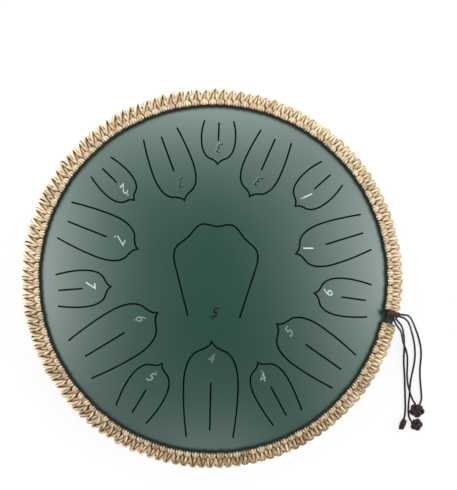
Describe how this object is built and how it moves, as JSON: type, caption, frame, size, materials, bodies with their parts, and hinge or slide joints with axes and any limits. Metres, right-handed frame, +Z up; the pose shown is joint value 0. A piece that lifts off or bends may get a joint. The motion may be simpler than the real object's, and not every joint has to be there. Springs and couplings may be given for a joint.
{
  "type": "tongue drum",
  "caption": "Round steel tongue drum: a domed shell with slotted petal tongues over a bowl with a sound hole, on rubber feet, with a knotted jute rim band.",
  "frame": {"origin": "on the surface the drum stands on, under the middle of the drum", "axes": "+Z up along the drum's axis, +Y away from the player, the band's opening near +X"},
  "size_m": [0.3894, 0.3686, 0.154],
  "materials": {
    "green_paint": "satin dark green paint on steel",
    "jute": "natural jute twine, knotted",
    "waxed_cord": "dark brown waxed cord",
    "grey_rubber": "dark grey rubber edge trim",
    "rubber": "matt black rubber",
    "zinc": "zinc-plated steel"
  },
  "bodies": {
    "drum": {"top_shell": "green_paint", "bottom_shell": "green_paint", "edge_trim": "grey_rubber", "jute_band": "jute", "core_cord_upper": "waxed_cord", "core_cord_lower": "waxed_cord", "sliding_knot": "waxed_cord", "foot_1": "rubber", "foot_washer_1": "zinc", "foot_screw_1": "zinc", "foot_nut_1": "zinc", "foot_2": "rubber", "foot_washer_2": "zinc", "foot_screw_2": "zinc", "foot_nut_2": "zinc", "foot_3": "rubber", "foot_washer_3": "zinc", "foot_screw_3": "zinc", "foot_nut_3": "zinc", "foot_4": "rubber", "foot_washer_4": "zinc", "foot_screw_4": "zinc", "foot_nut_4": "zinc", "tail_cord_1": "waxed_cord", "tail_cord_2": "waxed_cord", "tail_cord_3": "waxed_cord", "tail_cord_4": "waxed_cord", "end_knot_pair": "waxed_cord", "end_knot_single": "waxed_cord", "end_knot_barrel": "waxed_cord"},
    "tongue_high_3": {"tongue_high_3": "green_paint"},
    "tongue_mid_2": {"tongue_mid_2": "green_paint"},
    "tongue_high_2": {"tongue_high_2": "green_paint"},
    "tongue_low_7": {"tongue_low_7": "green_paint"},
    "tongue_mid_7": {"tongue_mid_7": "green_paint"},
    "tongue_low_6": {"tongue_low_6": "green_paint"},
    "tongue_high_5": {"tongue_high_5": "green_paint"},
    "tongue_mid_4": {"tongue_mid_4": "green_paint"},
    "tongue_high_4": {"tongue_high_4": "green_paint"},
    "tongue_mid_5": {"tongue_mid_5": "green_paint"},
    "tongue_mid_6": {"tongue_mid_6": "green_paint"},
    "tongue_mid_1": {"tongue_mid_1": "green_paint"},
    "tongue_high_1": {"tongue_high_1": "green_paint"},
    "tongue_mid_3": {"tongue_mid_3": "green_paint"},
    "tongue_low_5": {"tongue_low_5": "green_paint"}
  },
  "joints": [
    {"name": "flex_high_3", "type": "hinge", "parent": "drum", "child": "tongue_high_3", "pos_m": [0.00562, 0.1534, 0.10798], "axis": [-0.9993, 0.0366, 0], "range_deg": [-1, 1], "stiffness_Nm_per_rad": 270},
    {"name": "flex_mid_2", "type": "hinge", "parent": "drum", "child": "tongue_mid_2", "pos_m": [-0.05275, 0.14415, 0.10798], "axis": [-0.9391, -0.3437, 0], "range_deg": [-1, 1], "stiffness_Nm_per_rad": 190},
    {"name": "flex_high_2", "type": "hinge", "parent": "drum", "child": "tongue_high_2", "pos_m": [-0.10873, 0.10835, 0.10798], "axis": [-0.7059, -0.7083, 0], "range_deg": [-1, 1], "stiffness_Nm_per_rad": 240},
    {"name": "flex_low_7", "type": "hinge", "parent": "drum", "child": "tongue_low_7", "pos_m": [-0.14272, 0.05651, 0.10798], "axis": [-0.3681, -0.9298, 0], "range_deg": [-1, 1], "stiffness_Nm_per_rad": 200},
    {"name": "flex_mid_7", "type": "hinge", "parent": "drum", "child": "tongue_mid_7", "pos_m": [-0.15309, -0.01124, 0.10798], "axis": [0.0732, -0.9973, 0], "range_deg": [-1, 1], "stiffness_Nm_per_rad": 225},
    {"name": "flex_low_6", "type": "hinge", "parent": "drum", "child": "tongue_low_6", "pos_m": [-0.13144, -0.07929, 0.10798], "axis": [0.5165, -0.8563, 0], "range_deg": [-1, 1], "stiffness_Nm_per_rad": 190},
    {"name": "flex_high_5", "type": "hinge", "parent": "drum", "child": "tongue_high_5", "pos_m": [-0.07975, -0.13116, 0.10798], "axis": [0.8545, -0.5195, 0], "range_deg": [-1, 1], "stiffness_Nm_per_rad": 235},
    {"name": "flex_mid_4", "type": "hinge", "parent": "drum", "child": "tongue_mid_4", "pos_m": [-0.00375, -0.15345, 0.10798], "axis": [0.9997, -0.0244, 0], "range_deg": [-1, 1], "stiffness_Nm_per_rad": 195},
    {"name": "flex_high_4", "type": "hinge", "parent": "drum", "child": "tongue_high_4", "pos_m": [0.0723, -0.13541, 0.10798], "axis": [0.8821, 0.471, 0], "range_deg": [-1, 1], "stiffness_Nm_per_rad": 200},
    {"name": "flex_mid_5", "type": "hinge", "parent": "drum", "child": "tongue_mid_5", "pos_m": [0.12528, -0.0887, 0.10798], "axis": [0.5779, 0.8161, 0], "range_deg": [-1, 1], "stiffness_Nm_per_rad": 200},
    {"name": "flex_mid_6", "type": "hinge", "parent": "drum", "child": "tongue_mid_6", "pos_m": [0.15201, -0.02136, 0.10798], "axis": [0.1392, 0.9903, 0], "range_deg": [-1, 1], "stiffness_Nm_per_rad": 230},
    {"name": "flex_mid_1", "type": "hinge", "parent": "drum", "child": "tongue_mid_1", "pos_m": [0.14671, 0.04514, 0.10798], "axis": [-0.294, 0.9558, 0], "range_deg": [-1, 1], "stiffness_Nm_per_rad": 205},
    {"name": "flex_high_1", "type": "hinge", "parent": "drum", "child": "tongue_high_1", "pos_m": [0.11461, 0.10211, 0.10798], "axis": [-0.6652, 0.7466, 0], "range_deg": [-1, 1], "stiffness_Nm_per_rad": 260},
    {"name": "flex_mid_3", "type": "hinge", "parent": "drum", "child": "tongue_mid_3", "pos_m": [0.06194, 0.14045, 0.10798], "axis": [-0.915, 0.4035, 0], "range_deg": [-1, 1], "stiffness_Nm_per_rad": 195},
    {"name": "flex_low_5", "type": "hinge", "parent": "drum", "child": "tongue_low_5", "pos_m": [0.00034, -0.03904, 0.15035], "axis": [0.9994, -0.0349, 0], "range_deg": [-1, 1], "stiffness_Nm_per_rad": 220}
  ]
}
